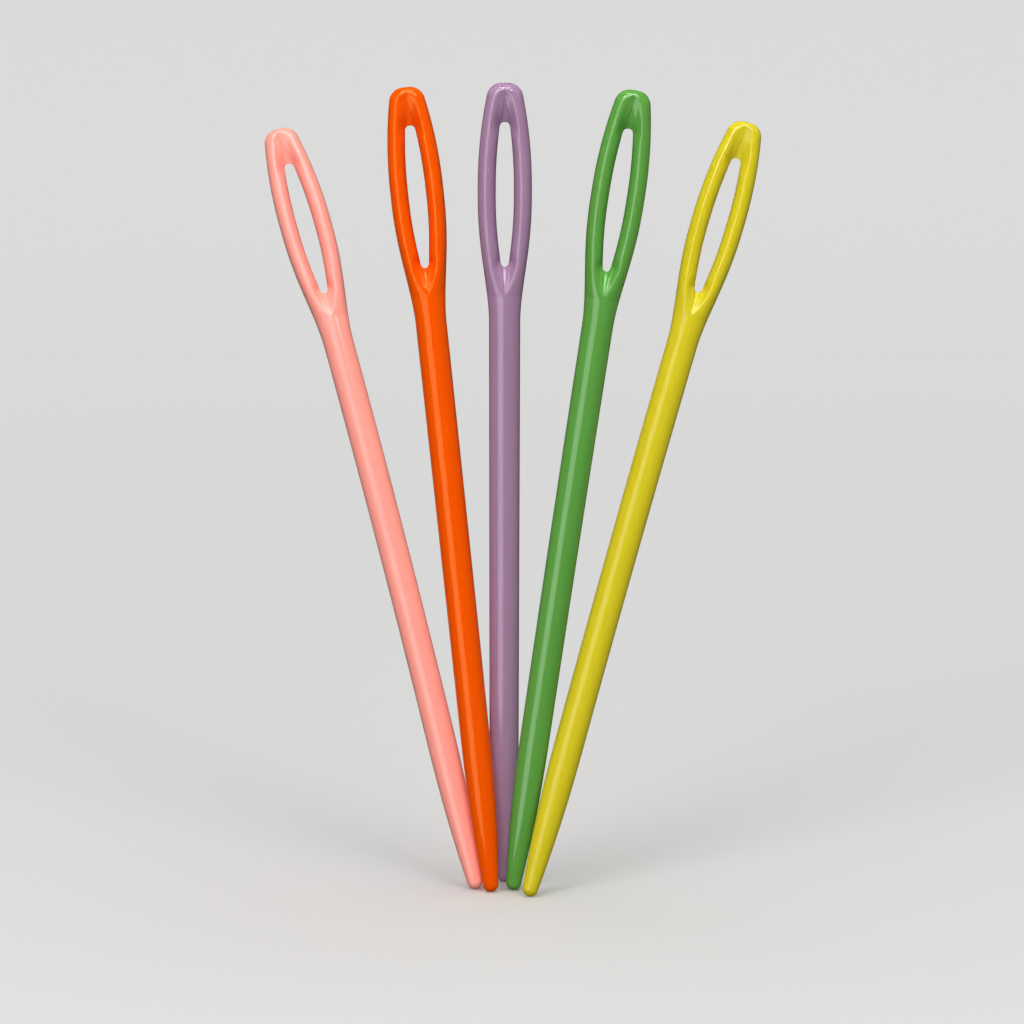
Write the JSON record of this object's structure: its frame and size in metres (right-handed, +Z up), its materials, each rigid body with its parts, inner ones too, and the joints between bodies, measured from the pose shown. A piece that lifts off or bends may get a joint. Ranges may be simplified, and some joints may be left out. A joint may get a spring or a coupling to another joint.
{
  "type": "plaiting needle set",
  "caption": "Fan of blunt plastic plaiting needles with long open eyes, standing on their tips; each one can be drawn out by itself.",
  "frame": {"origin": "on the floor plane, in the middle of the bunch of needle tips", "axes": "+Z up through the fan, +X to the right along the spread of the heads, -Y towards the viewer, the way the broad faces of the heads look"},
  "size_m": [0.0948, 0.0449, 0.1507],
  "materials": {
    "pink_plastic": "smooth moulded coral pink plastic with a soft gloss",
    "orange_plastic": "smooth moulded orange plastic with a soft gloss",
    "purple_plastic": "smooth moulded mauve plastic with a soft gloss",
    "green_plastic": "smooth moulded green plastic with a soft gloss",
    "yellow_plastic": "smooth moulded yellow plastic with a soft gloss"
  },
  "bodies": {
    "purple": {"purple_needle": "purple_plastic"},
    "pink": {"pink_needle": "pink_plastic"},
    "orange": {"orange_needle": "orange_plastic"},
    "green": {"green_needle": "green_plastic"},
    "yellow": {"yellow_needle": "yellow_plastic"}
  },
  "joints": [
    {"name": "pink_draw", "type": "slide", "parent": "purple", "child": "pink", "axis": [-0.2554, 0.2421, 0.936], "range_m": [0, 0.16]},
    {"name": "orange_draw", "type": "slide", "parent": "purple", "child": "orange", "axis": [-0.1045, 0.0694, 0.9921], "range_m": [0, 0.16]},
    {"name": "green_draw", "type": "slide", "parent": "purple", "child": "green", "axis": [0.1478, 0.0173, 0.9889], "range_m": [0, 0.16]},
    {"name": "yellow_draw", "type": "slide", "parent": "purple", "child": "yellow", "axis": [0.274, 0.167, 0.9471], "range_m": [0, 0.16]}
  ]
}
